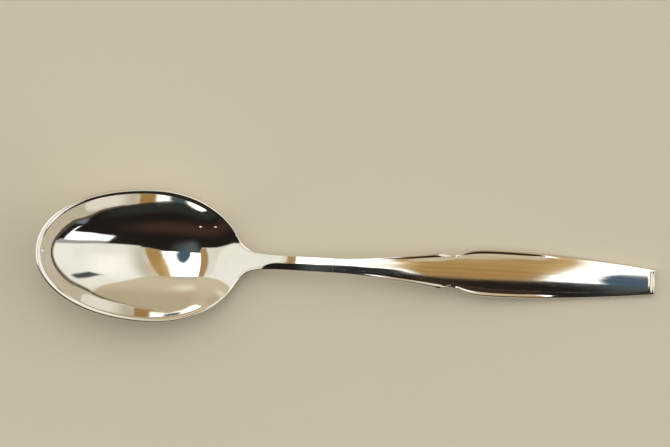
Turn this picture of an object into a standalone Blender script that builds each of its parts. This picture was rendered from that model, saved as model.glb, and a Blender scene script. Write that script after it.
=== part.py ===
"""Coffee spoon: an oval bowl drawn out into a slim stem, butt-brazed to a shaped handle with a beaded edge.

Metres, +Z up. The spoon lies on its back on the plane z = 0, bowl tip towards -X, handle end
towards +X, symmetric about the plane y = 0. The origin is below the middle of its length.
"""
import math

import bmesh
import bpy
import numpy as np

MM = 0.001

# Lengths along the axis, from the bowl's tip to the handle's end
BOWL_FRONT_LENGTH = 25.8 * MM
BOWL_REAR_LENGTH = 20.2 * MM
STEM_LENGTH = 20.2 * MM
FLARE_LENGTH = 23.6 * MM
KNUCKLE_LENGTH = 2.7 * MM
WAIST_LENGTH = 1.4 * MM
NICK_LENGTH = 0.25 * MM
SWELL_LENGTH = 9.65 * MM
TAPER_LENGTH = 34.45 * MM

# Widths of the outline, seen from above
BOWL_WIDTH = 29.7 * MM
NECK_WIDTH = 11.0 * MM
STEM_WIDTH = 3.1 * MM
SEAM_WIDTH = 3.4 * MM
KNUCKLE_WIDTH = 7.94 * MM
WAIST_WIDTH = 7.1 * MM
NICK_WIDTH = 7.9 * MM
SWELL_START_WIDTH = 7.4 * MM
BLADE_WIDTH = 10.6 * MM
END_WIDTH = 5.6 * MM

# Widths of the handle's domed field, inside its border
SEAM_FIELD_WIDTH = 1.7 * MM
KNUCKLE_FIELD_WIDTH = 4.2 * MM
BLADE_FIELD_WIDTH = 7.0 * MM
END_FIELD_WIDTH = 3.8 * MM

# Heights above the table
RIM_TIP_HEIGHT = 15.1 * MM
RIM_HEEL_HEIGHT = 4.4 * MM
KEEL_REAR_HEIGHT = 1.9 * MM
HEEL_HEIGHT = 3.82 * MM
NECK_HEIGHT = 6.51 * MM
ARCH_HEIGHT = 7.76 * MM
BLADE_HEIGHT = 4.92 * MM

# Places along the axis where the lengthwise curve is pinned
KEEL_FROM_TIP = 33.8 * MM
KEEL_REAR_BEFORE_HEEL = 6.2 * MM
NECK_BEHIND_HEEL = 8.6 * MM
ARCH_BEHIND_SEAM = 2.4 * MM
BLADE_PIN_FROM_END = 38.65 * MM
LEVEL_END_LENGTH = 7.65 * MM
TROUGH_FADES_BEFORE_HEEL = 8.2 * MM
RIM_NARROWS_BEFORE_HEEL = 10.4 * MM
UNDERSIDE_TURNS_BEFORE_HEEL = 8.2 * MM
ROOF_STARTS_BEFORE_HEEL = 1.4 * MM
RIM_NARROWED_BEFORE_HEEL = 1.4 * MM
ROOF_RAISED_BEHIND_HEEL = 5.0 * MM
TROUGH_GONE_BEHIND_HEEL = 4.8 * MM
UNDERSIDE_TURNED_BEHIND_HEEL = 7.8 * MM
ROOF_CRISP_BEHIND_HEEL = 8.6 * MM
TIP_EASE_FADES_FROM_TIP = 7.6 * MM
TIP_EASE_GONE_FROM_TIP = 15.1 * MM

# Metal thickness
BOWL_WALL = 1.0 * MM
STEM_THICKNESS = 2.5 * MM
END_THICKNESS = 2.0 * MM

# Rim of the bowl and shoulders of the stem
RIM_WIDTH = 1.2 * MM
RIM_ROUND = 0.32 * MM
RIM_TILT = math.radians(48.0)
NECK_TILT = math.radians(-8.0)
RIM_EDGE_HEIGHT = 0.85 * MM
STEM_SHOULDER_WIDTH = 0.3 * MM
STEM_SHOULDER_ROUND = 0.18 * MM
ROOF_SLOPE = math.tan(math.radians(16.0))
NECK_RIDGE_ROUND = 2.4 * MM
STEM_RIDGE_ROUND = 0.12 * MM
STEM_EDGE_DROP = 1.65 * MM
STEM_CAMBER = 1.0 * MM

# Border and beaded edge of the handle
BLADE_CROWN_RADIUS = 12.0 * MM
SEAM_BORDER_ANGLE = math.radians(16.0)
BLADE_BORDER_ANGLE = math.radians(27.0)
END_BORDER_ANGLE = math.radians(14.0)
END_BEVEL_SLOPE = math.tan(math.radians(27.0))
BORDER_STEEPENS_BEFORE_KNUCKLE = 12.4 * MM
BORDER_EASES_BEHIND_BLADE = 3.8 * MM
BORDER_EASE_LENGTH = 12.0 * MM
BEAD_SLOPE = math.tan(math.radians(24.0))
BEAD_SHAPED_BEFORE_KNUCKLE = 5.0 * MM
BEAD_FADES_BEHIND_BLADE = 4.0 * MM
BEAD_FADE_LENGTH = 12.6 * MM
BLADE_CAMBER = 0.12 * MM
UNDER_ROUNDING = 0.3 * MM
END_BEVEL_LENGTH = 1.0 * MM
BRAZE_GAP = 0.1 * MM

# Making of the surfaces
MERGE_DISTANCE = 0.001 * MM
SHARP_EDGE = math.radians(20.0)
POLISH_COLOUR = (0.86, 0.83, 0.78)
BOWL_ROUGHNESS = 0.05
HANDLE_ROUGHNESS = 0.07

# Shape numbers, without unit
KEEL_ROUND_SHARE = 0.8
KEEL_STEEP_FROM = 0.5935
KEEL_STEEP_POWER = 2.5
BOWL_FRONT_POWER = 2.1
TIP_EASE = 0.16
FLARE_POWER = 1.65
WAIST_POWER = 1.5
SWELL_POWER = 4
TAPER_POWER = 1.65
FIELD_FLARE_POWER = 1.3
FIELD_SWELL_POWER = 2
FIELD_TAPER_POWER = 3
BEAD_SHARE = 0.5
BEAD_RIDGE_SHARE = 0.38
SWELL_SPACING_POWER = 1.5
OUTLINE_STEP = 0.001

# Facets
FRONT_STATIONS = 16
REAR_STATIONS = 12
STEM_STATIONS = 12
FLARE_STATIONS = 12
WAIST_STATIONS = 2
SWELL_STATIONS = 8
TAPER_STATIONS = 14
INNER_FACETS = 9
FLANK_FACETS = 2
ROUND_FACETS = 3
OUTER_FACETS = 9
CROWN_FACETS = 4

# Stations measured from the bowl's tip
WIDEST_X = BOWL_FRONT_LENGTH
HEEL_X = WIDEST_X + BOWL_REAR_LENGTH
SEAM_X = HEEL_X + STEM_LENGTH
KNUCKLE_X = SEAM_X + FLARE_LENGTH
WAIST_X = KNUCKLE_X + KNUCKLE_LENGTH
NICK_X = WAIST_X + WAIST_LENGTH
SWELL_X = NICK_X + NICK_LENGTH
BLADE_X = SWELL_X + SWELL_LENGTH
END_X = BLADE_X + TAPER_LENGTH
ARCH_X = SEAM_X + ARCH_BEHIND_SEAM
LEVEL_X = END_X - LEVEL_END_LENGTH
MIDDLE = END_X / 2


def smooth_step(x, start, end):
    """Rise from 0 at start to 1 at end, with no kink in slope or curvature."""
    t = min(max((x - start) / (end - start), 0.0), 1.0)
    return t * t * t * (t * (6.0 * t - 15.0) + 10.0)


def blend(a, b, share):
    return a + (b - a) * share


def level_ended_spline(knots):
    """Cubic spline through the knots that is level at both ends."""
    x, z = np.array(knots).T
    step = np.diff(x)
    rise = np.diff(z) / step
    count = len(x)
    lhs = np.zeros((count, count))
    rhs = np.zeros(count)
    lhs[0, 0] = lhs[-1, -1] = 1.0
    for i in range(1, count - 1):
        lhs[i, i - 1] = step[i]
        lhs[i, i] = 2.0 * (step[i - 1] + step[i])
        lhs[i, i + 1] = step[i - 1]
        rhs[i] = 3.0 * (step[i] * rise[i - 1] + step[i - 1] * rise[i])
    slope = np.linalg.solve(lhs, rhs)

    def height(at):
        at = min(at, x[-1])
        i = int(np.clip(np.searchsorted(x, at) - 1, 0, count - 2))
        t = (at - x[i]) / step[i]
        start = (1.0 + 2.0 * t) * (1.0 - t) ** 2 * z[i] + t * (1.0 - t) ** 2 * step[i] * slope[i]
        end = t * t * (3.0 - 2.0 * t) * z[i + 1] - t * t * (1.0 - t) * step[i] * slope[i + 1]
        return float(start + end)

    return height


ridge_height = level_ended_spline([
    (KEEL_FROM_TIP, BOWL_WALL),
    (HEEL_X - KEEL_REAR_BEFORE_HEEL, KEEL_REAR_HEIGHT),
    (HEEL_X, HEEL_HEIGHT),
    (HEEL_X + NECK_BEHIND_HEEL, NECK_HEIGHT),
    (ARCH_X, ARCH_HEIGHT),
    (END_X - BLADE_PIN_FROM_END, BLADE_HEIGHT),
    (LEVEL_X, END_THICKNESS),
])


def rim_height(x):
    """The rim is straight in side view, highest at the tip."""
    return blend(RIM_TIP_HEIGHT, RIM_HEEL_HEIGHT, x / HEEL_X)


def keel(x, tip_x, tip_height, deepest):
    """Lengthwise curve of the bowl in front of its deepest point: round below, steep at the tip."""
    u = (KEEL_FROM_TIP - x) / (KEEL_FROM_TIP - tip_x)
    steep = max(u - KEEL_STEEP_FROM, 0.0) / (1.0 - KEEL_STEEP_FROM)
    return blend(deepest, tip_height, blend(steep ** KEEL_STEEP_POWER, u ** 2, KEEL_ROUND_SHARE))


def thickness(x):
    """Metal on the axis: thin in the bowl, full in the stem, thinning to the handle's end."""
    to_stem = smooth_step(x, KEEL_FROM_TIP, (HEEL_X + ARCH_X) / 2)
    to_end = smooth_step(x, SEAM_X, LEVEL_X)
    return blend(blend(BOWL_WALL, STEM_THICKNESS, to_stem), END_THICKNESS, to_end)


def axis_top(x):
    if x < KEEL_FROM_TIP:
        return keel(x, RIM_WIDTH, rim_height(RIM_WIDTH), BOWL_WALL)
    return ridge_height(x)


def axis_bottom(x):
    if x < KEEL_FROM_TIP:
        return keel(x, 0.0, rim_height(0.0) - RIM_EDGE_HEIGHT, 0.0)
    return ridge_height(x) - thickness(x)


def neck_half_width(x):
    """Rear half of the bowl's oval, then a hollow curve that dies out along the stem."""
    half = BOWL_WIDTH / 2
    leave = NECK_WIDTH / 2
    leave_x = WIDEST_X + BOWL_REAR_LENGTH * math.sqrt(1.0 - (leave / half) ** 2)
    if x < leave_x:
        return half * math.sqrt(1.0 - ((x - WIDEST_X) / BOWL_REAR_LENGTH) ** 2)
    slope = (half / BOWL_REAR_LENGTH) ** 2 * (leave_x - WIDEST_X) / leave
    stem = blend(STEM_WIDTH, SEAM_WIDTH, (x - leave_x) / (SEAM_X - leave_x)) / 2
    flare = leave - STEM_WIDTH / 2
    return stem + flare * math.exp(-(x - leave_x) * slope / flare)


def bowl_outline(s):
    """Point of the outline: s runs 0 to 1 round the front half, 1 to 2 to the heel, 2 to 3 to the seam."""
    if s < 1.0:
        turn = math.pi / 2 * abs(s)
        ahead = math.cos(turn) ** (2.0 / BOWL_FRONT_POWER)
        aside = math.copysign(math.sin(turn) ** (2.0 / BOWL_FRONT_POWER), s)
        return WIDEST_X - BOWL_FRONT_LENGTH * ahead, BOWL_WIDTH / 2 * aside
    if s < 2.0:
        x = WIDEST_X + BOWL_REAR_LENGTH * (s - 1.0)
    else:
        x = HEEL_X + (STEM_LENGTH - BRAZE_GAP) * (s - 2.0)
    return x, neck_half_width(x)


def handle_half_width(x):
    """Outline of the handle: long flare, knuckle, waist and nick, swollen blade, tapered end."""
    if x <= KNUCKLE_X:
        width = blend(SEAM_WIDTH, KNUCKLE_WIDTH, ((x - SEAM_X) / FLARE_LENGTH) ** FLARE_POWER)
    elif x <= WAIST_X:
        width = blend(KNUCKLE_WIDTH, WAIST_WIDTH, (x - KNUCKLE_X) / KNUCKLE_LENGTH)
    elif x <= NICK_X:
        width = blend(WAIST_WIDTH, NICK_WIDTH, ((x - WAIST_X) / WAIST_LENGTH) ** WAIST_POWER)
    elif x <= SWELL_X:
        width = blend(NICK_WIDTH, SWELL_START_WIDTH, (x - NICK_X) / NICK_LENGTH)
    elif x <= BLADE_X:
        width = blend(BLADE_WIDTH, SWELL_START_WIDTH, ((BLADE_X - x) / SWELL_LENGTH) ** SWELL_POWER)
    else:
        width = blend(BLADE_WIDTH, END_WIDTH, ((x - BLADE_X) / TAPER_LENGTH) ** TAPER_POWER)
    return width / 2


def field_half_width(x):
    """Domed field of the handle, up to the crease where the sloping border begins."""
    if x <= KNUCKLE_X:
        share = ((x - SEAM_X) / FLARE_LENGTH) ** FIELD_FLARE_POWER
        width = blend(SEAM_FIELD_WIDTH, KNUCKLE_FIELD_WIDTH, share)
    elif x <= BLADE_X:
        share = ((BLADE_X - x) / (BLADE_X - KNUCKLE_X)) ** FIELD_SWELL_POWER
        width = blend(BLADE_FIELD_WIDTH, KNUCKLE_FIELD_WIDTH, share)
    else:
        width = blend(BLADE_FIELD_WIDTH, END_FIELD_WIDTH, ((x - BLADE_X) / TAPER_LENGTH) ** FIELD_TAPER_POWER)
    return width / 2


def edge_height(x):
    """Height of the hollow's edge, which sinks to the axis through the neck."""
    sunk = smooth_step(x, HEEL_X - TROUGH_FADES_BEFORE_HEEL, HEEL_X + TROUGH_GONE_BEHIND_HEEL)
    return blend(rim_height(x), axis_top(x), sunk)


def roof(y, ridge_round):
    """Fall of the stem's two upper slopes, away from the rounded ridge between them."""
    return ROOF_SLOPE * (math.hypot(y, ridge_round) - ridge_round)


def hollow(x, half, v):
    """Height of the upper face at share v of its half width: a trough, flat in the neck, roofed on the stem."""
    ease = TIP_EASE * (1.0 - smooth_step(x, TIP_EASE_FADES_FROM_TIP, TIP_EASE_GONE_FROM_TIP))
    trough = blend(axis_top(x), edge_height(x), (1.0 + ease) * v ** 2 - ease * v ** 4)
    roof_start = HEEL_X - ROOF_STARTS_BEFORE_HEEL
    crisp = smooth_step(x, roof_start, HEEL_X + ROOF_CRISP_BEHIND_HEEL)
    raised = smooth_step(x, roof_start, HEEL_X + ROOF_RAISED_BEHIND_HEEL)
    return trough - raised * roof(v * half, blend(NECK_RIDGE_ROUND, STEM_RIDGE_ROUND, crisp))


def rim_profile(width, edge_round, start_tilt, end_tilt):
    """Reach and rise from the hollow's edge to the outline: a flank that levels off, then a round edge."""
    step = (width - edge_round * (1.0 + math.sin(end_tilt))) / FLANK_FACETS
    reach = 0.0
    rise = 0.0
    steps = []
    for i in range(FLANK_FACETS):
        reach += step
        rise += step * math.tan(blend(start_tilt, end_tilt, (i + 0.5) / FLANK_FACETS))
        steps.append((reach, rise))
    for i in range(1, ROUND_FACETS + 1):
        turn = blend(-end_tilt, math.pi / 2, i / ROUND_FACETS)
        edge = reach + edge_round * (math.sin(turn) + math.sin(end_tilt))
        steps.append((edge, rise + edge_round * (math.cos(turn) - math.cos(end_tilt))))
    return steps


def bowl_section(s):
    """Half section of the bowl or stem, from the top of the axis over the rim to the underside."""
    outer_x, outer_half = bowl_outline(s)
    before_x, before_half = bowl_outline(s - OUTLINE_STEP)
    after_x, after_half = bowl_outline(s + OUTLINE_STEP)
    along = math.hypot(after_x - before_x, after_half - before_half)
    out_x = (before_half - after_half) / along
    out_y = (after_x - before_x) / along
    narrowed = smooth_step(outer_x, HEEL_X - RIM_NARROWS_BEFORE_HEEL, HEEL_X - RIM_NARROWED_BEFORE_HEEL)
    rim = blend(RIM_WIDTH, STEM_SHOULDER_WIDTH, narrowed)
    edge_round = blend(RIM_ROUND, STEM_SHOULDER_ROUND, narrowed)
    inner_x = outer_x - rim * out_x
    inner_half = max(outer_half - rim * out_y, 0.0)
    level = hollow(inner_x, inner_half, 1.0)
    turned = smooth_step(
        outer_x, HEEL_X - UNDERSIDE_TURNS_BEFORE_HEEL, HEEL_X + UNDERSIDE_TURNED_BEHIND_HEEL)
    foot = blend(edge_height(outer_x) - RIM_EDGE_HEIGHT, axis_top(outer_x) - STEM_EDGE_DROP, turned)
    points = []
    for i in range(INNER_FACETS + 1):
        v = i / INNER_FACETS
        points.append((inner_x, v * inner_half, hollow(inner_x, inner_half, v)))
    start_tilt = blend(RIM_TILT, NECK_TILT, narrowed)
    for reach, rise in rim_profile(rim, edge_round, start_tilt, NECK_TILT * narrowed):
        points.append((inner_x + reach * out_x, inner_half + reach * out_y, level + rise))
    for i in range(OUTER_FACETS, -1, -1):
        v = i / OUTER_FACETS
        points.append((outer_x, v * outer_half, blend(axis_bottom(outer_x), foot, v * v)))
    return points


def bowl_sections():
    front = [i / FRONT_STATIONS for i in range(FRONT_STATIONS)]
    rear = [1.0 + i / REAR_STATIONS for i in range(REAR_STATIONS)]
    stem = [2.0 + i / STEM_STATIONS for i in range(STEM_STATIONS + 1)]
    return [bowl_section(s) for s in front + rear + stem]


def border_slope(x):
    """Slope of the handle's border: gentle at the seam, steep along knuckle and blade, gentle at the end."""
    steep = smooth_step(x, KNUCKLE_X - BORDER_STEEPENS_BEFORE_KNUCKLE, KNUCKLE_X)
    angle = blend(SEAM_BORDER_ANGLE, BLADE_BORDER_ANGLE, steep)
    eases = BLADE_X + BORDER_EASES_BEHIND_BLADE
    return math.tan(blend(angle, END_BORDER_ANGLE, smooth_step(x, eases, eases + BORDER_EASE_LENGTH)))


def handle_section(x):
    """Half section of the handle: domed field, sloping border, beaded edge, lightly cambered underside."""
    half = handle_half_width(x)
    crease = field_half_width(x)
    bead = BEAD_SHARE * (half - crease)
    foot = half - bead
    ridge = half - BEAD_RIDGE_SHARE * bead
    bead_fades = BLADE_X + BEAD_FADES_BEHIND_BLADE
    raised = smooth_step(x, SEAM_X, KNUCKLE_X - BEAD_SHAPED_BEFORE_KNUCKLE)
    raised *= 1.0 - smooth_step(x, bead_fades, bead_fades + BEAD_FADE_LENGTH)
    to_blade = smooth_step(x, SEAM_X, KNUCKLE_X)
    border = border_slope(x)
    top = axis_top(x)
    bottom = axis_bottom(x)
    camber = blend(STEM_CAMBER, BLADE_CAMBER, to_blade)
    camber *= 1.0 - smooth_step(x, BLADE_X, LEVEL_X)
    across = [crease * i / CROWN_FACETS for i in range(CROWN_FACETS + 1)]
    falls = [blend(roof(y, STEM_RIDGE_ROUND), y ** 2 / (2.0 * BLADE_CROWN_RADIUS), to_blade) for y in across]
    foot_height = top - falls[-1] - border * (foot - crease)
    bead_height = foot_height + blend(-border, BEAD_SLOPE, raised) * (ridge - foot)
    end_drop = END_BEVEL_SLOPE * max(x - (END_X - END_BEVEL_LENGTH), 0.0)
    points = [(x, y, max(top - fall - end_drop, foot_height)) for y, fall in zip(across, falls)]
    points.append((x, foot, foot_height))
    points.append((x, ridge, bead_height))
    points.append((x, half, bead_height - (half - ridge)))
    points.append((x, half, bottom + camber + UNDER_ROUNDING))
    for i in range(CROWN_FACETS, -1, -1):
        v = i / CROWN_FACETS
        points.append((x, v * (half - UNDER_ROUNDING), bottom + camber * v * v))
    return points


def handle_sections():
    stations = [SEAM_X + FLARE_LENGTH * i / FLARE_STATIONS for i in range(FLARE_STATIONS + 1)]
    stations.append(WAIST_X)
    stations += [WAIST_X + WAIST_LENGTH * i / WAIST_STATIONS for i in range(1, WAIST_STATIONS + 1)]
    swell = [i / SWELL_STATIONS for i in range(SWELL_STATIONS + 1)]
    stations += [SWELL_X + SWELL_LENGTH * share ** SWELL_SPACING_POWER for share in swell]
    taper = TAPER_LENGTH - END_BEVEL_LENGTH
    stations += [BLADE_X + taper * i / TAPER_STATIONS for i in range(1, TAPER_STATIONS + 1)]
    stations.append(END_X)
    return [handle_section(x) for x in stations]


def loft(name, sections, material, collection):
    """Wrap a flat grid over the half sections, cap its ends and mirror it across y = 0."""
    across = len(sections[0])
    mesh = bpy.data.meshes.new(name)
    bm = bmesh.new()
    bmesh.ops.create_grid(bm, x_segments=across - 1, y_segments=len(sections) - 1)
    bm.verts.ensure_lookup_table()
    for i, vert in enumerate(bm.verts):
        x, y, z = sections[i // across][i % across]
        vert.co = (x - MIDDLE, y, z)
    first = bm.verts[:across]
    last = bm.verts[-across:]
    caps = [ring for ring in (first, last) if max(v.co.y for v in ring) > RIM_ROUND]
    for ring in caps:
        bmesh.ops.contextual_create(bm, geom=list(ring))
    bmesh.ops.remove_doubles(bm, verts=bm.verts, dist=MERGE_DISTANCE)
    bmesh.ops.recalc_face_normals(bm, faces=bm.faces)
    bm.to_mesh(mesh)
    bm.free()
    mesh.materials.append(material)
    mesh.shade_smooth()
    mesh.set_sharp_from_angle(angle=SHARP_EDGE)
    piece = bpy.data.objects.new(name, mesh)
    collection.objects.link(piece)
    mirror = piece.modifiers.new("other_half", "MIRROR")
    mirror.use_axis = (False, True, False)
    mirror.merge_threshold = MERGE_DISTANCE
    return piece


def polished_metal(name, roughness):
    material = bpy.data.materials.new(name)
    material.use_nodes = True
    shader = material.node_tree.nodes["Principled BSDF"]
    shader.inputs["Base Color"].default_value = (*POLISH_COLOUR, 1.0)
    shader.inputs["Metallic"].default_value = 1.0
    shader.inputs["Roughness"].default_value = roughness
    return material


def main():
    for old in list(bpy.data.objects):
        bpy.data.objects.remove(old)
    spoon = bpy.data.collections.new("coffee_spoon")
    bpy.context.scene.collection.children.link(spoon)
    loft("bowl", bowl_sections(), polished_metal("bowl_polish", BOWL_ROUGHNESS), spoon)
    loft("handle", handle_sections(), polished_metal("handle_polish", HANDLE_ROUGHNESS), spoon)


main()
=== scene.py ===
"""Looks of the coffee spoon: polished bowl and handle as fine meshes, on a pale floor in a soft studio."""
import math

import bmesh
import bpy
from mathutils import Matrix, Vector


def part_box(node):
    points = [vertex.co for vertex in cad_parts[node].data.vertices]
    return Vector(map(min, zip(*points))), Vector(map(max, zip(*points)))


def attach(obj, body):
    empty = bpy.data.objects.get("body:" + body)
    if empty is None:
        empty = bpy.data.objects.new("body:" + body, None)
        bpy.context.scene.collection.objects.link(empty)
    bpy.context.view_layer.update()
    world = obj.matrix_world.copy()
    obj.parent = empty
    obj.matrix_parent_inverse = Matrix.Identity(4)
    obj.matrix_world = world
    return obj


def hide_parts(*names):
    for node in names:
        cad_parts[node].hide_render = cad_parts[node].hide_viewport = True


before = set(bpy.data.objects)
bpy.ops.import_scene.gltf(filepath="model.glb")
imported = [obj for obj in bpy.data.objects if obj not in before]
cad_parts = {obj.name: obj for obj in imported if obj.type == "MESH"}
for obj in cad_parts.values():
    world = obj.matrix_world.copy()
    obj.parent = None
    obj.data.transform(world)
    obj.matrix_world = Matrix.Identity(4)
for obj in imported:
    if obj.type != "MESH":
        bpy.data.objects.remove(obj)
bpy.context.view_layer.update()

MM = 0.001

# Sizes taken from the solids. Places along the spoon are measured from the bowl's tip
bowl_low, bowl_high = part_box("bowl")
handle_low, handle_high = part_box("handle")
TIP_X = bowl_low[0]
SEAM = handle_low[0] - TIP_X
STEM_END = SEAM - 0.02 * MM
END = handle_high[0] - TIP_X
BOWL_HALF = bowl_high[1]
BLADE_HALF = handle_high[1]

# Outline of the bowl and its neck
BOWL_FRONT = 25.8 * MM
BOWL_REAR = 20.2 * MM
NECK_HALF = 5.5 * MM
FRONT_POWER = 2.1
STEM_HALF = 1.55 * MM
SEAM_HALF = 1.7 * MM

# Outline of the handle
KNUCKLE = 89.8 * MM
KNUCKLE_WAIST = 92.5 * MM
NICK = 93.9 * MM
NICK_LENGTH = 0.25 * MM
BLADE = 103.8 * MM
KNUCKLE_HALF = 3.97 * MM
WAIST_HALF = 3.55 * MM
NICK_HALF = 3.95 * MM
SWELL_HALF = 3.7 * MM
END_HALF = 2.8 * MM
FLARE_POWER = 1.65
WAIST_POWER = 1.5
SWELL_POWER = 4.0
TAPER_POWER = 1.65

# Side view
RIM_TIP_HEIGHT = 15.1 * MM
RIM_HEEL_HEIGHT = 4.4 * MM
HEEL = BOWL_FRONT + BOWL_REAR
KEEL = 33.8 * MM
KEEL_REAR = 39.8 * MM
NECK_START = 37.8 * MM
TROUGH_FADES = 37.8 * MM
TROUGH_GONE = 50.8 * MM
TROUGH_DIES = 44.8 * MM
TROUGH_FADE = 4.5 * MM
NECK_END = 53.8 * MM
ROOF_START = 44.6 * MM
ROOF_RAISED = 51.4 * MM
ROOF_END = 54.6 * MM
NECK = 54.6 * MM
ARCH = 68.6 * MM
BLADE_PIN = 99.6 * MM
LEVEL = 130.6 * MM
KEEL_REAR_HEIGHT = 1.9 * MM
HEEL_HEIGHT = 3.82 * MM
NECK_HEIGHT = 6.51 * MM
ARCH_HEIGHT = 7.76 * MM
BLADE_HEIGHT = 4.62 * MM
BOWL_WALL = 1.0 * MM
STEM_THICKNESS = 2.5 * MM
END_THICKNESS = 2.0 * MM
KEEL_ROUND_SHARE = 0.8
KEEL_STEEP_FROM = 0.5935
KEEL_STEEP_POWER = 2.5
TIP_EASE = 0.16
TIP_EASE_FADES = 7.6 * MM
TIP_EASE_GONE = 15.1 * MM

# Rim of the bowl and shoulders of the stem
RIM_WIDTH = 1.2 * MM
LIP_ROUND = 0.32 * MM
LIP_ROUND_SHARE = 0.6
FLANK_POWER = 1.3
RIM_EDGE_HEIGHT = 0.85 * MM
SHOULDER_WIDTH = 0.4 * MM
RIM_NARROWS = 35.6 * MM
RIM_NARROWED = 44.6 * MM
ROOF_SLOPE = math.tan(math.radians(16.0))
NECK_RIDGE_ROUND = 2.4 * MM
STEM_RIDGE_ROUND = 0.12 * MM
STEM_EDGE_DROP = 1.65 * MM
SPINE_REACH = 13.0 * MM

# Field, border and beaded edge of the handle
SEAM_CREASE = 0.85 * MM
KNUCKLE_CREASE = 2.1 * MM
BLADE_CREASE = 3.5 * MM
END_CREASE = 1.9 * MM
CREASE_FLARE_POWER = 1.3
CREASE_SWELL_POWER = 2
CREASE_TAPER_POWER = 3
BLADE_CROWN_RADIUS = 12.0 * MM
SEAM_BORDER = 16.0
BLADE_BORDER = 27.0
END_BORDER = 14.0
BORDER_STEEPENS = 77.6 * MM
BORDER_EASES = 107.6 * MM
BORDER_EASED = 119.6 * MM
END_SLOPE = math.tan(math.radians(27.0))
BEAD_SHARE = 0.5
BEAD_RIDGE_SHARE = 0.38
BEAD_SLOPE = math.tan(math.radians(24.0))
BEAD_SHAPED = KNUCKLE - 5.0 * MM
BEAD_FADES = 107.8 * MM
BEAD_GONE = 120.4 * MM
STEM_CAMBER = 1.0 * MM
BLADE_CAMBER = 0.12 * MM
UNDER_ROUND = 0.3 * MM
END_BEVEL = 1.0 * MM
END_ROUND = 0.22 * MM
KNUCKLE_DIP = 0.4 * MM
DIP_RISES = 93.1 * MM
PRESS_EASE = 0.35 * MM
PRESSED_SHARE = 0.7
PRESSED_SLOPE = 0.12
CREASE_ROUND = 0.12 * MM
BEAD_FOOT_ROUND = 0.06 * MM
BEAD_ROUND = 0.12 * MM

# Facets before subdivision
FRONT_RIBS = 56
REAR_RIBS = 52
STEM_RIBS = 32
FLARE_RIBS = 40
KNUCKLE_RIBS = 7
WAIST_RIBS = 5
SWELL_RIBS = 20
SWELL_SPACING = 1.6
TAPER_RIBS = 44
END_RIBS = 4
INNER_COLUMNS = 20
EDGE_COLUMN = 0.98
FLANK_COLUMNS = 5
ROUND_COLUMNS = 4
OUTER_COLUMNS = 16
CROWN_COLUMNS = 10
UNDER_COLUMNS = 8
BEVEL_SEGMENTS = 3

# Camera: straight down from far above, turned a little about the line of sight
CAMERA_HEIGHT = 2.0
CAMERA_REACH = 50.0
VIEW_CENTRE = (-2.975 * MM, 9.30 * MM)
VIEW_WIDTH = 149.4 * MM
VIEW_LEVEL = 6.0 * MM
VIEW_TURN = math.radians(3.0)
SENSOR = 36.0

# Floor
FLOOR_HALF = 6.0
FLOOR_DROP = 0.05 * MM
BOARD_COLOUR = (0.82, 0.75, 0.62, 1.0)
BOARD_ROUGHNESS = 0.9
BOARD_GLOSS = 0.2

# Small steps of the working
TINY = 1e-9
MERGE_DISTANCE = 0.001 * MM
PROBE_STEP = 0.01 * MM
FOOT_TRIES = 5


def ramp(x, start, end):
    return min(max((x - start) / (end - start), 0.0), 1.0)


def smooth_step(x, start, end):
    """Rise from 0 at start to 1 at end, with no kink in slope or curvature."""
    t = ramp(x, start, end)
    return t * t * t * (t * (6.0 * t - 15.0) + 10.0)


def mix(a, b, share):
    return a + (b - a) * share


def level_ended_spline(knots):
    """Cubic spline through the knots, level at both ends, from a tridiagonal solve for its slopes."""
    x = [k[0] for k in knots]
    z = [k[1] for k in knots]
    step = [b - a for a, b in zip(x, x[1:])]
    rise = [(b - a) / h for a, b, h in zip(z, z[1:], step)]
    slope = [0.0] * len(x)
    ratio = [0.0] * len(x)
    for i in range(1, len(x) - 1):
        below = step[i]
        pivot = 2.0 * (step[i - 1] + step[i]) - below * ratio[i - 1]
        ratio[i] = step[i - 1] / pivot
        given = 3.0 * (step[i] * rise[i - 1] + step[i - 1] * rise[i])
        slope[i] = (given - below * slope[i - 1]) / pivot
    for i in range(len(x) - 2, 0, -1):
        slope[i] -= ratio[i] * slope[i + 1]

    def height(at):
        at = min(at, x[-1])
        i = max(k for k in range(len(x) - 1) if k == 0 or x[k] < at)
        t = (at - x[i]) / step[i]
        start = (1.0 + 2.0 * t) * (1.0 - t) ** 2 * z[i] + t * (1.0 - t) ** 2 * step[i] * slope[i]
        end = t * t * (3.0 - 2.0 * t) * z[i + 1] - t * t * (1.0 - t) * step[i] * slope[i + 1]
        return start + end

    return height


ridge_height = level_ended_spline([
    (KEEL, BOWL_WALL),
    (KEEL_REAR, KEEL_REAR_HEIGHT),
    (HEEL, HEEL_HEIGHT),
    (NECK, NECK_HEIGHT),
    (ARCH, ARCH_HEIGHT),
    (BLADE_PIN, BLADE_HEIGHT),
    (LEVEL, END_THICKNESS),
])


def rim_height(x):
    return mix(RIM_TIP_HEIGHT, RIM_HEEL_HEIGHT, x / HEEL)


def keel_height(x, tip_x, tip_height, deepest):
    """Lengthwise curve in front of the deepest point: round below, steeper towards the tip."""
    u = (KEEL - x) / (KEEL - tip_x)
    steep = max(u - KEEL_STEEP_FROM, 0.0) / (1.0 - KEEL_STEEP_FROM)
    return mix(deepest, tip_height, mix(steep ** KEEL_STEEP_POWER, u ** 2, KEEL_ROUND_SHARE))


def axis_top(x):
    """Height of the upper face on the spoon's long plane."""
    if x < KEEL:
        return keel_height(x, RIM_WIDTH, rim_height(RIM_WIDTH), BOWL_WALL)
    return ridge_height(x)


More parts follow.
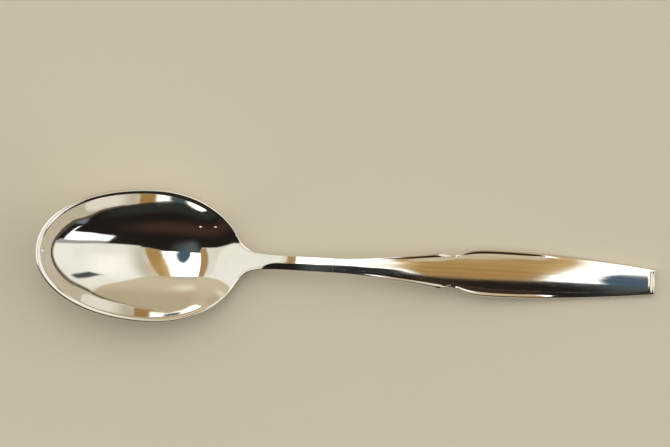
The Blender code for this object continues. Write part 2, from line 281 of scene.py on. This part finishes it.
def axis_bottom(x):
    """Height of the underside on the spoon's long plane."""
    if x < KEEL:
        return keel_height(x, 0.0, rim_height(0.0) - RIM_EDGE_HEIGHT, 0.0)
    stem_share = smooth_step(x, KEEL, mix(HEEL, ARCH, 0.5))
    end_share = smooth_step(x, SEAM, LEVEL)
    return ridge_height(x) - mix(mix(BOWL_WALL, STEM_THICKNESS, stem_share), END_THICKNESS, end_share)


def outer_half(x):
    """Half width of the bowl's outline: two half ovals, then a hollow curve that dies out along the stem."""
    if x < BOWL_FRONT:
        return BOWL_HALF * max(1.0 - (1.0 - x / BOWL_FRONT) ** FRONT_POWER, 0.0) ** (1.0 / FRONT_POWER)
    leave = BOWL_FRONT + BOWL_REAR * math.sqrt(1.0 - (NECK_HALF / BOWL_HALF) ** 2)
    if x < leave:
        return BOWL_HALF * math.sqrt(1.0 - ((x - BOWL_FRONT) / BOWL_REAR) ** 2)
    slope = (BOWL_HALF / BOWL_REAR) ** 2 * (leave - BOWL_FRONT) / NECK_HALF
    stem = mix(STEM_HALF, SEAM_HALF, (x - leave) / (SEAM - leave))
    flare = NECK_HALF - STEM_HALF
    return stem + flare * math.exp(-(x - leave) * slope / flare)


def outline_slope(x):
    return (outer_half(x + PROBE_STEP) - outer_half(x - PROBE_STEP)) / (2.0 * PROBE_STEP)


def rim_width(x):
    return mix(RIM_WIDTH, SHOULDER_WIDTH, smooth_step(x, RIM_NARROWS, RIM_NARROWED))


def rim_foot(x):
    """Place on the outline, behind the widest point, that lies square outside the hollow's edge at x."""
    if x >= STEM_END:
        return x
    width = rim_width(x)
    at = x
    for _ in range(FOOT_TRIES):
        slope = outline_slope(at)
        at = x - width * slope / math.sqrt(1.0 + slope ** 2)
    return at


def inner_half(x):
    """Half width of the hollow inside the rim."""
    if x < BOWL_FRONT:
        ahead = (BOWL_FRONT - x) / (BOWL_FRONT - RIM_WIDTH)
        return (BOWL_HALF - RIM_WIDTH) * max(1.0 - ahead ** FRONT_POWER, 0.0) ** (1.0 / FRONT_POWER)
    foot = rim_foot(x)
    return outer_half(foot) - rim_width(x) / math.sqrt(1.0 + outline_slope(foot) ** 2)


def trough_depth(x):
    """Depth of the hollow below its edge. Past the heel it follows the narrowing neck and dies out."""
    at = min(x, TROUGH_DIES)
    depth = (rim_height(at) - axis_top(at)) * (1.0 - smooth_step(at, TROUGH_FADES, TROUGH_GONE))
    if x > TROUGH_DIES:
        depth *= (inner_half(x) / inner_half(at)) ** 2 * math.exp((at - x) / TROUGH_FADE)
    return depth


def edge_height(x):
    """Height of the hollow's edge, which sinks to the axis through the neck."""
    return axis_top(x) + trough_depth(x)


def roof(y, ridge_round):
    """Fall of the stem's two upper slopes, away from the rounded ridge between them."""
    return ROOF_SLOPE * (math.hypot(y, ridge_round) - ridge_round)


def hollow(x, y):
    """Height of the upper face: a trough that flattens through the neck, then the stem's two slopes."""
    v = y / max(inner_half(x), TINY)
    ease = TIP_EASE * (1.0 - smooth_step(x, TIP_EASE_FADES, TIP_EASE_GONE))
    trough = mix(axis_top(x), edge_height(x), (1.0 + ease) * v ** 2 - ease * v ** 4)
    ridge_round = mix(NECK_RIDGE_ROUND, STEM_RIDGE_ROUND, smooth_step(x, ROOF_START, ROOF_END))
    return trough - smooth_step(x, ROOF_START, ROOF_RAISED) * roof(y, ridge_round)


def belly(x, y):
    """Height of the underside, which turns from a round bowl into the stem's cambered bar."""
    stem_share = smooth_step(x, NECK_START, NECK_END)
    edge = mix(edge_height(x) - RIM_EDGE_HEIGHT, axis_top(x) - STEM_EDGE_DROP, stem_share)
    v = y / max(outer_half(x), TINY)
    return mix(axis_bottom(x), edge, v * v)


def bowl_rib(s):
    """Half rib of the bowl, fanned round the front, then square across to the stem's end."""
    if s < 1.0:
        turn = math.pi / 2 * s
        spine = BOWL_FRONT - SPINE_REACH * math.cos(turn)
        ahead = math.cos(turn) ** (2.0 / FRONT_POWER)
        aside = math.sin(turn) ** (2.0 / FRONT_POWER)
        inner = Vector((BOWL_FRONT - (BOWL_FRONT - RIM_WIDTH) * ahead, (BOWL_HALF - RIM_WIDTH) * aside))
        outer = Vector((BOWL_FRONT * (1.0 - ahead), BOWL_HALF * aside))
        under = spine
    else:
        spine = mix(BOWL_FRONT, HEEL, s - 1.0) if s < 2.0 else mix(HEEL, STEM_END, s - 2.0)
        inner = Vector((spine, inner_half(spine)))
        under = rim_foot(spine)
        outer = Vector((under, outer_half(under)))
    points = []
    for v in [i / INNER_COLUMNS for i in range(INNER_COLUMNS)] + [EDGE_COLUMN, 1.0]:
        x, y = mix(spine, inner.x, v), v * inner.y
        points.append((x, y, hollow(x, y)))
    points += lip(inner, outer)
    for i in range(OUTER_COLUMNS, -1, -1):
        v = i / OUTER_COLUMNS
        x, y = mix(under, outer.x, v), v * outer.y
        points.append((x, y, belly(x, y)))
    return points


def lip(inner, outer):
    """From the hollow's edge to the outline: a flank that levels off in the bowl, then a tight round edge."""
    out = (outer - inner).normalized()
    back = inner - out * PROBE_STEP
    level = hollow(inner.x, inner.y)
    tilt = math.atan((level - hollow(back.x, back.y)) / PROBE_STEP)
    end_tilt = tilt * smooth_step(inner.x, RIM_NARROWS, RIM_NARROWED)
    width = (outer - inner).length
    radius = min(LIP_ROUND, LIP_ROUND_SHARE * width)
    step = (width - radius * (1.0 + math.sin(end_tilt))) / FLANK_COLUMNS
    reach = 0.0
    rise = 0.0
    points = []
    for i in range(FLANK_COLUMNS):
        reach += step
        rise += step * math.tan(mix(tilt, end_tilt, ((i + 0.5) / FLANK_COLUMNS) ** FLANK_POWER))
        points.append((reach, rise))
    for i in range(1, ROUND_COLUMNS + 1):
        turn = mix(-end_tilt, math.pi / 2, i / ROUND_COLUMNS)
        edge = reach + radius * (math.sin(turn) + math.sin(end_tilt))
        points.append((edge, rise + radius * (math.cos(turn) - math.cos(end_tilt))))
    return [(inner.x + out.x * r, inner.y + out.y * r, level + h) for r, h in points]


def handle_half(x):
    """Half width of the handle: long flare, knuckle with its nick, swollen blade, tapered end."""
    if x <= KNUCKLE:
        return mix(SEAM_HALF, KNUCKLE_HALF, max((x - SEAM) / (KNUCKLE - SEAM), 0.0) ** FLARE_POWER)
    if x <= KNUCKLE_WAIST:
        return mix(KNUCKLE_HALF, WAIST_HALF, (x - KNUCKLE) / (KNUCKLE_WAIST - KNUCKLE))
    if x <= NICK:
        return mix(WAIST_HALF, NICK_HALF, ((x - KNUCKLE_WAIST) / (NICK - KNUCKLE_WAIST)) ** WAIST_POWER)
    if x <= NICK + NICK_LENGTH:
        return mix(NICK_HALF, SWELL_HALF, (x - NICK) / NICK_LENGTH)
    if x <= BLADE:
        return mix(BLADE_HALF, SWELL_HALF, ((BLADE - x) / (BLADE - NICK - NICK_LENGTH)) ** SWELL_POWER)
    return mix(BLADE_HALF, END_HALF, ((x - BLADE) / (END - BLADE)) ** TAPER_POWER)


def crease_half(x):
    """Half width of the domed field, up to the crease where the sloping border begins."""
    if x <= KNUCKLE:
        along = max((x - SEAM) / (KNUCKLE - SEAM), 0.0)
        return mix(SEAM_CREASE, KNUCKLE_CREASE, along ** CREASE_FLARE_POWER)
    if x <= BLADE:
        return mix(BLADE_CREASE, KNUCKLE_CREASE, ((BLADE - x) / (BLADE - KNUCKLE)) ** CREASE_SWELL_POWER)
    return mix(BLADE_CREASE, END_CREASE, ((x - BLADE) / (END - BLADE)) ** CREASE_TAPER_POWER)


def blade_share(x):
    """0 at the seam and 1 from the knuckle on, for the sections that turn from a bar into a flat blade."""
    return smooth_step(x, SEAM, KNUCKLE)


def field_fall(x, y):
    """Fall of the field from its ridge: two slopes at the seam, one low dome on the blade."""
    return mix(roof(y, STEM_RIDGE_ROUND), y ** 2 / (2.0 * BLADE_CROWN_RADIUS), blade_share(x))


def border_slope(x):
    """Slope of the border, steeper on the blade than at the seam and the end."""
    angle = mix(SEAM_BORDER, BLADE_BORDER, smooth_step(x, BORDER_STEEPENS, KNUCKLE))
    return math.tan(math.radians(mix(angle, END_BORDER, smooth_step(x, BORDER_EASES, BORDER_EASED))))


def pressed_share(x):
    """1 on the pressed facets of the knuckle and 0 elsewhere."""
    begun = smooth_step(x, KNUCKLE - PRESS_EASE, KNUCKLE + PRESS_EASE)
    ended = smooth_step(x, KNUCKLE_WAIST - PRESS_EASE, KNUCKLE_WAIST + PRESS_EASE)
    return begun * (1.0 - ended)


def handle_rib(x):
    """Half rib of the handle: domed field, sloping border, beaded edge and lightly cambered underside."""
    half = handle_half(x)
    crease = crease_half(x)
    top = axis_top(x)
    bottom = axis_bottom(x)
    border = border_slope(x)
    pressed = pressed_share(x)
    bead = BEAD_SHARE * (half - crease)
    foot = half - bead
    ridge = half - mix(BEAD_RIDGE_SHARE, PRESSED_SHARE, pressed) * bead
    raised = smooth_step(x, SEAM, BEAD_SHAPED) * (1.0 - smooth_step(x, BEAD_FADES, BEAD_GONE))
    dip = KNUCKLE_DIP * (ramp(x, KNUCKLE, KNUCKLE_WAIST) - ramp(x, DIP_RISES, NICK + NICK_LENGTH))
    foot_height = top - field_fall(x, crease) - border * (foot - crease)
    bead_height = foot_height + mix(-border, BEAD_SLOPE, raised) * (ridge - foot) - dip
    end_drop = END_SLOPE * max(x - (END - END_BEVEL), 0.0)
    camber = mix(STEM_CAMBER, BLADE_CAMBER, blade_share(x)) * (1.0 - smooth_step(x, BLADE, LEVEL))
    points = []
    for i in range(CROWN_COLUMNS + 1):
        y = i / CROWN_COLUMNS * crease
        points.append((x, y, max(top - field_fall(x, y) - end_drop, foot_height)))
    points.append((x, foot, foot_height))
    points.append((x, ridge, bead_height))
    points.append((x, half, bead_height - mix(1.0, PRESSED_SLOPE, pressed) * (half - ridge)))
    points.append((x, half, bottom + camber + UNDER_ROUND))
    for i in range(UNDER_COLUMNS, -1, -1):
        v = i / UNDER_COLUMNS
        points.append((x, v * (half - UNDER_ROUND), bottom + camber * v * v))
    return points


def handle_stations():
    """Places of the handle's ribs, closer together at the knuckle and the bevelled end."""
    flare = [mix(SEAM, KNUCKLE, i / FLARE_RIBS) for i in range(FLARE_RIBS + 1)]
    knuckle = [mix(KNUCKLE, KNUCKLE_WAIST, i / KNUCKLE_RIBS) for i in range(1, KNUCKLE_RIBS + 1)]
    waist = [mix(KNUCKLE_WAIST, NICK, i / WAIST_RIBS) for i in range(1, WAIST_RIBS + 1)]
    nick = [NICK + NICK_LENGTH]
    swell = [mix(nick[0], BLADE, (i / SWELL_RIBS) ** SWELL_SPACING) for i in range(1, SWELL_RIBS + 1)]
    taper = [mix(BLADE, END - END_BEVEL, i / TAPER_RIBS) for i in range(1, TAPER_RIBS + 1)]
    end = [mix(END - END_BEVEL, END, i / END_RIBS) for i in range(1, END_RIBS + 1)]
    return flare + knuckle + waist + nick + swell + taper + end


def round_edges(bm, edges, radius):
    bmesh.ops.bevel(
        bm, geom=edges, offset=radius, affect="EDGES", segments=BEVEL_SEGMENTS, profile=0.5, material=-1,
    )


def wrapped_grid(ribs, rounded_columns):
    """Wrap a grid over the half ribs and round the lengthwise edges through the given points of them."""
    across = len(ribs[0])
    bm = bmesh.new()
    bmesh.ops.create_grid(bm, x_segments=across - 1, y_segments=len(ribs) - 1)
    bm.verts.ensure_lookup_table()
    for i, vert in enumerate(bm.verts):
        x, y, z = ribs[i // across][i % across]
        vert.co = (TIP_X + x, y, z)
    bm.edges.layers.float.new("crease_edge")
    columns = {k: {bm.verts[r * across + k] for r in range(len(ribs))} for k in rounded_columns}
    loops = {k: [e for e in bm.edges if set(e.verts) <= verts] for k, verts in columns.items()}
    for k, radius in rounded_columns.items():
        round_edges(bm, loops[k], radius)
    return bm


def cap_end(bm, x, radius):
    """Close the shell square at x. The cap's edge is rounded, or stays sharp where the radius is 0."""
    rim = [e for e in bm.edges if e.is_boundary and all(abs(v.co.x - x) < MERGE_DISTANCE for v in e.verts)]
    bmesh.ops.contextual_create(bm, geom=rim)
    if radius > 0.0:
        round_edges(bm, rim, radius)
        return
    crease = bm.edges.layers.float["crease_edge"]
    for edge in rim:
        edge[crease] = 1.0
        edge.smooth = False


def lofted(name, ribs, rounded_columns, caps):
    """Half shell over the ribs, capped at the given ribs, then mirrored across the spoon's long plane."""
    bm = wrapped_grid(ribs, rounded_columns)
    for row, radius in caps.items():
        cap_end(bm, TIP_X + ribs[row][0][0], radius)
    bmesh.ops.recalc_face_normals(bm, faces=bm.faces)
    for face in bm.faces:
        face.smooth = True
    mesh = bpy.data.meshes.new(name)
    bm.to_mesh(mesh)
    bm.free()
    piece = bpy.data.objects.new(name, mesh)
    bpy.context.scene.collection.objects.link(piece)
    mirror = piece.modifiers.new("other_half", "MIRROR")
    mirror.use_axis = (False, True, False)
    mirror.merge_threshold = MERGE_DISTANCE
    smooth = piece.modifiers.new("fine_surface", "SUBSURF")
    smooth.levels = 1
    smooth.render_levels = 1
    return piece


def spoon_bowl():
    front = [i / FRONT_RIBS for i in range(FRONT_RIBS)]
    rear = [1.0 + i / REAR_RIBS for i in range(REAR_RIBS)]
    stem = [2.0 + i / STEM_RIBS for i in range(STEM_RIBS + 1)]
    return lofted("spoon_bowl", [bowl_rib(s) for s in front + rear + stem], {}, {-1: 0.0})


def spoon_handle():
    rounded = {
        CROWN_COLUMNS: CREASE_ROUND,
        CROWN_COLUMNS + 1: BEAD_FOOT_ROUND,
        CROWN_COLUMNS + 2: BEAD_ROUND,
        CROWN_COLUMNS + 3: BEAD_ROUND,
        CROWN_COLUMNS + 4: BEAD_ROUND,
        CROWN_COLUMNS + 5: BEAD_ROUND,
    }
    ribs = [handle_rib(x) for x in handle_stations()]
    return lofted("spoon_handle", ribs, rounded, {0: 0.0, -1: END_ROUND})


def node(tree, kind, inputs=(), **settings):
    """New node with its settings, and with each input linked to a socket or set to a value."""
    made = tree.nodes.new(kind)
    for key, value in settings.items():
        setattr(made, key, value)
    for socket, value in inputs:
        if isinstance(value, bpy.types.NodeSocket):
            tree.links.new(value, made.inputs[socket])
        else:
            made.inputs[socket].default_value = value
    return made


def span(tree, value, low, high, to_low, to_high):
    made = node(
        tree, "ShaderNodeMapRange",
        [("Value", value), ("From Min", low), ("From Max", high), ("To Min", to_low), ("To Max", to_high)],
    )
    return made.outputs["Result"]


def combined(tree, operation, a, b):
    return node(tree, "ShaderNodeMath", [(0, a), (1, b)], operation=operation).outputs[0]


def painted_over(tree, shade, colour, mask):
    """Colour laid over a shade, or over another colour, where the mask is 1."""
    made = node(tree, "ShaderNodeMix", [("Factor", mask), (6, shade), (7, colour)], data_type="RGBA")
    return made.outputs[2]


# Marks in the polish: counts per metre, turns in degrees. A stretch below 1 draws them out along that axis
CLEAN_TINT = (0.89, 0.86, 0.81, 1.0)
DULL_TINT = (0.76, 0.71, 0.63, 1.0)
SMUDGES = 90.0
SMUDGE_STRETCH = (1.0, 1.6, 1.6)
SMUDGE_TURN = 20.0
SMUDGE_DULLS = 0.6
POLISH_LINES = 5000.0
LINE_STRETCH = (0.03, 1.0, 0.1)
POLISH_BANDS = 1700.0
BAND_STRETCH = (0.006, 1.0, 0.02)
SCRATCH_STRETCH = (0.02, 1.0, 1.0)
SCRATCHES = 2600.0
SCRATCH_TURN = 33.0
CROSS_SCRATCHES = 2300.0
CROSS_TURN = -48.0
SCRATCH_ROUGHNESS = 0.06
DUST_CELLS = 420.0
DUST_ROUGHNESS = 0.6
RIPPLES = 230.0
RIPPLE_HEIGHT = 0.01 * MM
MARK_DEPTH = 0.0006 * MM


def stretched_noise(tree, place, stretch, turn, scale, detail):
    """Noise drawn out along a direction, for polish lines, scratches and smudges."""
    laid = node(
        tree, "ShaderNodeMapping",
        [("Vector", place), ("Rotation", (0.0, 0.0, math.radians(turn))), ("Scale", stretch)],
    )
    made = node(
        tree, "ShaderNodeTexNoise",
        [("Vector", laid.outputs[0]), ("Scale", scale), ("Detail", detail)],
    )
    return made.outputs["Fac"]


def hairline_scratches(tree, place):
    """Two sets of thin scratches that cross: 1 in a scratch and 0 beside it."""
    one_way = stretched_noise(tree, place, SCRATCH_STRETCH, SCRATCH_TURN, SCRATCHES, 1.0)
    other_way = stretched_noise(tree, place, SCRATCH_STRETCH, CROSS_TURN, CROSS_SCRATCHES, 1.0)
    return combined(
        tree, "MAXIMUM",
        span(tree, one_way, 0.70, 0.76, 0.0, 1.0),
        span(tree, other_way, 0.71, 0.77, 0.0, 1.0),
    )


def dust_specks(tree, place):
    """One cell in ten holds a small round speck."""
    cells = node(tree, "ShaderNodeTexVoronoi", [("Vector", place), ("Scale", DUST_CELLS)])
    chosen = node(tree, "ShaderNodeSeparateColor", [("Color", cells.outputs["Color"])]).outputs["Red"]
    near = span(tree, cells.outputs["Distance"], 0.03, 0.06, 1.0, 0.0)
    return combined(tree, "MULTIPLY", near, span(tree, chosen, 0.90, 0.91, 0.0, 1.0))


def polished_metal(name, smooth, worn, streak, banding, wave_stretch, across):
    """Polished metal with faint polish lines, hairline scratches, smudges and specks of dust.

    smooth and worn are the roughness of clean and smudged metal, and streak is how far the polish lines vary
    it. banding is how much the polish bands dull the tint. A wave_stretch below 1 draws the slow ripple out
    along X and Z. across sets how far the highlights keep to one direction, from the tangent along Y.
    """
    material = bpy.data.materials.new(name)
    material.use_nodes = True
    tree = material.node_tree
    shader = tree.nodes["Principled BSDF"]
    place = node(tree, "ShaderNodeTexCoord").outputs["Object"]
    smudge = stretched_noise(tree, place, SMUDGE_STRETCH, SMUDGE_TURN, SMUDGES, 3.0)
    lines = stretched_noise(tree, place, LINE_STRETCH, 0.0, POLISH_LINES, 2.0)
    bands = stretched_noise(tree, place, BAND_STRETCH, 0.0, POLISH_BANDS, 0.0)
    ripple = stretched_noise(tree, place, (wave_stretch, 1.0, wave_stretch), 0.0, RIPPLES, 1.0)
    scratch = hairline_scratches(tree, place)
    speck = dust_specks(tree, place)

    dull = combined(
        tree, "MAXIMUM",
        span(tree, smudge, 0.4, 0.75, 0.0, SMUDGE_DULLS),
        span(tree, bands, 0.35, 0.8, 0.0, banding),
    )
    tree.links.new(painted_over(tree, CLEAN_TINT, DULL_TINT, dull), shader.inputs["Base Color"])
    shader.inputs["Metallic"].default_value = 1.0

    rough = span(tree, smudge, 0.35, 0.75, smooth, worn)
    rough = combined(tree, "ADD", rough, span(tree, lines, 0.3, 0.8, -streak, streak))
    rough = combined(tree, "ADD", rough, span(tree, scratch, 0.0, 1.0, 0.0, SCRATCH_ROUGHNESS))
    rough = combined(tree, "MAXIMUM", rough, span(tree, speck, 0.0, 1.0, 0.0, DUST_ROUGHNESS))
    tree.links.new(rough, shader.inputs["Roughness"])

    shader.inputs["Anisotropic"].default_value = across
    sideways = node(tree, "ShaderNodeCombineXYZ", [("Y", 1.0)])
    tangent = node(
        tree, "ShaderNodeVectorTransform", [("Vector", sideways.outputs[0])],
        vector_type="VECTOR", convert_from="OBJECT", convert_to="WORLD",
    )
    tree.links.new(tangent.outputs[0], shader.inputs["Tangent"])

    waves = node(
        tree, "ShaderNodeBump",
        [("Height", ripple), ("Distance", RIPPLE_HEIGHT), ("Strength", 1.0)],
    )
    marks = node(
        tree, "ShaderNodeBump",
        [("Height", combined(tree, "ADD", scratch, lines)), ("Distance", -MARK_DEPTH), ("Strength", 1.0)],
    )
    tree.links.new(waves.outputs[0], marks.inputs["Normal"])
    tree.links.new(marks.outputs[0], shader.inputs["Normal"])
    return material


# Colours of the studio's tent, cards, flags and soft boxes
WHITE_TENT = (0.94, 0.94, 0.86)
TENT_LIGHT = (1.14, 1.14, 1.08)
TENT_SHADE = (0.62, 0.58, 0.48)
NECK_CARD = (0.80, 0.79, 0.70)
TAN_CARD = (0.63, 0.55, 0.39)
DEEP_TAN = (0.50, 0.43, 0.29)
LIGHT_TAN = (0.86, 0.80, 0.63)
SHADE_CARD = (0.50, 0.45, 0.38)
BLACK_FLAG = (0.016, 0.013, 0.011)
BROWN_FLAG = (0.050, 0.030, 0.022)
GREEN_FLAG = (0.030, 0.032, 0.027)
SLATE_FLAG = (0.10, 0.12, 0.125)
NAVY_FLAG = (0.05, 0.065, 0.09)
GREY_FLAG = (0.20, 0.24, 0.29)
SOFT_BOX = (2.0, 2.0, 2.0)
STRIP_BOX = (1.4, 1.4, 1.5)
STRIP_GLOW = (0.38, 0.37, 0.38)
GOLD_CARD = (0.44, 0.27, 0.10)
PALE_GOLD = (0.49, 0.32, 0.13)
GREY_GOLD = (0.40, 0.27, 0.12)
BRIGHT_GOLD = (0.66, 0.46, 0.20)
BLUE_CARD = (0.07, 0.115, 0.165)
DARK_CARD = (0.085, 0.09, 0.105)
WARM_SPOT = (3.0, 2.4, 1.3)
LOW_DARK = (0.12, 0.09, 0.06)
PLAIN_GROUND = (0.60, 0.54, 0.43)

# Heights above the horizon, as sines, between which the low dark gives way to the panels
LOW_DARK_FULL = 0.02
LOW_DARK_GONE = 0.06

# Panels of the studio, painted one over the other: colour, softness of the edge in degrees, corners as leans
STUDIO_PANELS = [
    (TAN_CARD, 1.2, [(-25, 38), (7, 38.5), (18, 38.5), (29, 47), (40, 62), (52, 74), (0, 95), (-25, 84)]),
    (DEEP_TAN, 9.0, [(-22, 66), (0, 60), (34, 62), (52, 74), (0, 95), (-20, 84)]),
    (LIGHT_TAN, 5.0, [(-14, 60), (4, 60), (4, 53), (-14, 53)]),
    (TENT_LIGHT, 10.0, [(28, 44), (48, 44), (50, 2), (30, 2)]),
    (TENT_SHADE, 5.0, [(15, 42), (22, 42), (27, -18), (20, -18)]),
    (NECK_CARD, 1.2, [(-23, 38), (-26, 33), (-31, 3), (-31, -26), (-24, -26), (-22, 4)]),
    (BLACK_FLAG, 1.5, [
        (-90, -34), (-50, -25), (-24, -22.5), (22, -17.5), (36, -20.5), (88, -21), (60, -85), (-60, -85),
    ]),
    (BROWN_FLAG, 9.0, [(-60, -42), (0, -42), (30, -46), (30, -62), (0, -66), (-50, -60)]),
    (GREEN_FLAG, 5.0, [(-30, -70), (40, -68), (30, -88), (-20, -88)]),
    (BLACK_FLAG, 1.2, [(-18, -10), (9, -9), (24, -17), (24, -35), (-20, -35)]),
    (SLATE_FLAG, 7.0, [(-17, -10), (6, -10), (2, -30), (-12, -34)]),
    (NAVY_FLAG, 3.0, [(75, -44), (80, -52), (55, -76), (52, -72)]),
    (GREY_FLAG, 1.5, [(58, -60), (66, -62), (60, -70), (55, -68)]),
    (STRIP_GLOW, 1.2, [(39, -21), (86, -20), (80, -31), (40, -28)]),
    (STRIP_BOX, 0.8, [(39, -26.5), (77, -30), (67, -49), (36, -37)]),
    (STRIP_BOX, 0.6, [(68.5, -46), (65.5, -49), (60, -57), (62, -56)]),
    (DARK_CARD, 1.5, [(66, 52), (53, 42), (40.5, 44), (61, 57.5)]),
    (GREY_GOLD, 1.0, [(-23.6, 38.5), (-16.0, 38.5), (-16.5, -17), (-24, -25), (-25.4, 4)]),
    (SHADE_CARD, 3.0, [(-15, 43), (4, 43), (8, 37), (-18, 36)]),
    (SOFT_BOX, 0.8, [(-16.4, 38), (7, 37.7), (12.5, -10), (4, -11), (-17.5, -11)]),
    (GOLD_CARD, 0.8, [(7.5, 38.6), (14, 38.6), (19.6, 10), (22.2, -16.5), (13.5, -11.5)]),
    (PALE_GOLD, 9.0, [(7.5, 40), (15, 40), (19, 14), (9, 14)]),
    (BRIGHT_GOLD, 2.2, [(8.0, 38), (9.8, 38), (13.0, 4), (11.0, 4)]),
    (BLUE_CARD, 1.5, [(1.4, 13), (4.7, 8), (6.2, -5), (4, -14), (-4, -14), (-4.5, -4.5)]),
    (WARM_SPOT, 0.4, [(-18.3, -60.4), (-16.9, -60.2), (-16.9, -61.4), (-18.3, -61.6)]),
]


def lean(x_degrees, y_degrees):
    """Direction that leans from straight up by these many degrees towards +X and +Y."""
    tilt = math.hypot(x_degrees, y_degrees)
    up = math.cos(math.radians(tilt))
    out = math.sin(math.radians(tilt)) / max(tilt, TINY)
    return Vector((x_degrees * out, y_degrees * out, up))


def panel_mask(tree, direction, corners, softness):
    """1 inside the panel and 0 outside it, with edges that are straight as seen from the spoon."""
    points = [lean(*corner) for corner in corners]
    middle = sum(points, Vector()).normalized()
    soft = math.radians(softness)
    mask = None
    for a, b in zip(points, points[1:] + points[:1]):
        inward = a.cross(b).normalized()
        if inward.dot(middle) < 0.0:
            inward.negate()
        side = node(tree, "ShaderNodeVectorMath", [(0, direction), (1, inward)], operation="DOT_PRODUCT")
        inside = node(
            tree, "ShaderNodeMapRange",
            [("Value", side.outputs["Value"]), ("From Min", -soft), ("From Max", soft)],
            interpolation_type="SMOOTHSTEP",
        ).outputs["Result"]
        mask = inside if mask is None else combined(tree, "MULTIPLY", mask, inside)
    return mask


def studio_world():
    """Soft studio round the spoon: plain panels by direction, and a plain pale ground for the camera."""
    world = bpy.data.worlds.new("studio")
    bpy.context.scene.world = world
    world.use_nodes = True
    tree = world.node_tree
    tree.nodes.clear()
    direction = node(tree, "ShaderNodeTexCoord").outputs["Generated"]
    shade = node(tree, "ShaderNodeRGB").outputs[0]
    shade.default_value = (*WHITE_TENT, 1.0)
    for colour, softness, corners in STUDIO_PANELS:
        shade = painted_over(tree, shade, (*colour, 1.0), panel_mask(tree, direction, corners, softness))
    height = node(tree, "ShaderNodeSeparateXYZ", [(0, direction)]).outputs["Z"]
    fade = [("From Min", LOW_DARK_FULL), ("From Max", LOW_DARK_GONE), ("To Min", 1.0), ("To Max", 0.0)]
    low = node(
        tree, "ShaderNodeMapRange", [("Value", height), *fade], interpolation_type="SMOOTHSTEP",
    ).outputs["Result"]
    studio = node(tree, "ShaderNodeBackground", [("Color", painted_over(tree, shade, (*LOW_DARK, 1.0), low))])
    plain = node(tree, "ShaderNodeBackground", [("Color", (*PLAIN_GROUND, 1.0))])
    seen = node(tree, "ShaderNodeLightPath").outputs["Is Camera Ray"]
    shown = node(tree, "ShaderNodeMixShader", [(0, seen), (1, studio.outputs[0]), (2, plain.outputs[0])])
    node(tree, "ShaderNodeOutputWorld", [("Surface", shown.outputs[0])])


def pale_floor():
    bm = bmesh.new()
    bmesh.ops.create_grid(bm, x_segments=1, y_segments=1, size=FLOOR_HALF)
    bmesh.ops.translate(bm, verts=bm.verts, vec=(0.0, 0.0, -FLOOR_DROP))
    mesh = bpy.data.meshes.new("floor")
    bm.to_mesh(mesh)
    bm.free()
    floor = bpy.data.objects.new("floor", mesh)
    bpy.context.scene.collection.objects.link(floor)
    material = bpy.data.materials.new("pale_board")
    material.use_nodes = True
    shader = material.node_tree.nodes["Principled BSDF"]
    shader.inputs["Base Color"].default_value = BOARD_COLOUR
    shader.inputs["Roughness"].default_value = BOARD_ROUGHNESS
    shader.inputs["Specular IOR Level"].default_value = BOARD_GLOSS
    mesh.materials.append(material)


def overhead_camera():
    camera = bpy.data.cameras.new("camera")
    camera.sensor_width = SENSOR
    camera.lens = SENSOR * (CAMERA_HEIGHT - VIEW_LEVEL) / VIEW_WIDTH
    camera.clip_end = CAMERA_REACH
    eye = bpy.data.objects.new("camera", camera)
    eye.location = (*VIEW_CENTRE, CAMERA_HEIGHT)
    eye.rotation_euler = (0.0, 0.0, VIEW_TURN)
    bpy.context.scene.collection.objects.link(eye)
    bpy.context.scene.camera = eye


def dress(piece, node_name, material):
    """Give a piece its finish, and let it stand for a solid of the frame."""
    piece.data.materials.append(material)
    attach(piece, "root")
    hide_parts(node_name)


bpy.context.scene.view_settings.view_transform = "Standard"
bowl_polish = polished_metal(
    "bowl_polish", smooth=0.03, worn=0.075, streak=0.01, banding=0.15, wave_stretch=1.0, across=0.0,
)
handle_polish = polished_metal(
    "handle_polish", smooth=0.075, worn=0.11, streak=0.02, banding=0.9, wave_stretch=0.08, across=0.95,
)
dress(spoon_bowl(), "bowl", bowl_polish)
dress(spoon_handle(), "handle", handle_polish)
pale_floor()
studio_world()
overhead_camera()
